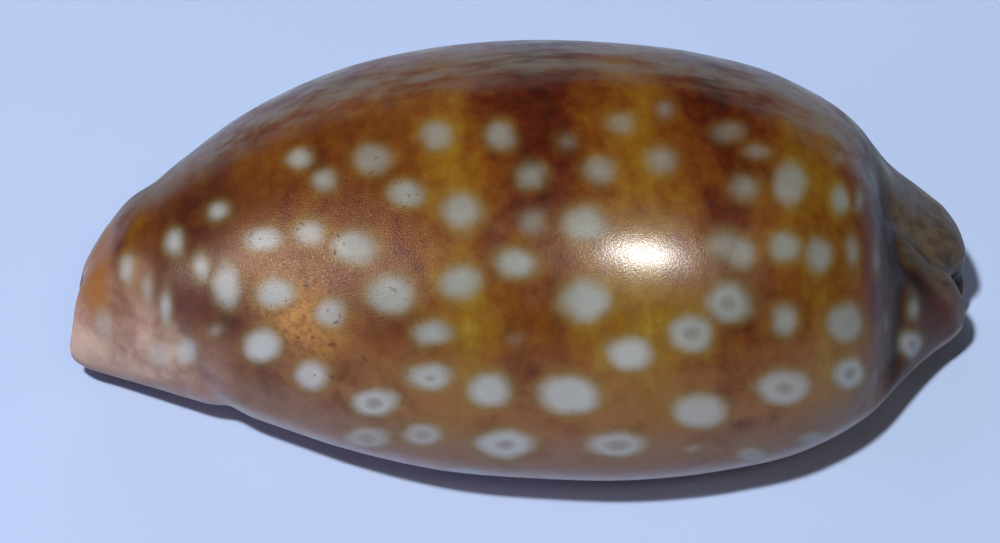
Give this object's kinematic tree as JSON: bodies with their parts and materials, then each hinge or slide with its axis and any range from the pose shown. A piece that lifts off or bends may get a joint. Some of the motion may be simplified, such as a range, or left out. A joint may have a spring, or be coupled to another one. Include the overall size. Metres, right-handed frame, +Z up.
{
  "type": "cowrie shell",
  "caption": "Glossy spotted cowrie shell: egg-shaped with a domed back, rolled lips round a narrow toothed slit underneath, a notched canal at each end; lies on its base.",
  "frame": {"origin": "centre of the box's foot, on the surface the shell lies on", "axes": "+X to the broad rear end, +Y to the outer lip, -Y to the inner lip, +Z up through the domed back"},
  "size_m": [0.075, 0.0378, 0.0295],
  "materials": {
    "shell": "naturally glossy calcium carbonate, dark and amber brown with pale grey spots"
  },
  "bodies": {
    "root": {"cowrie_shell": "shell"}
  },
  "joints": []
}
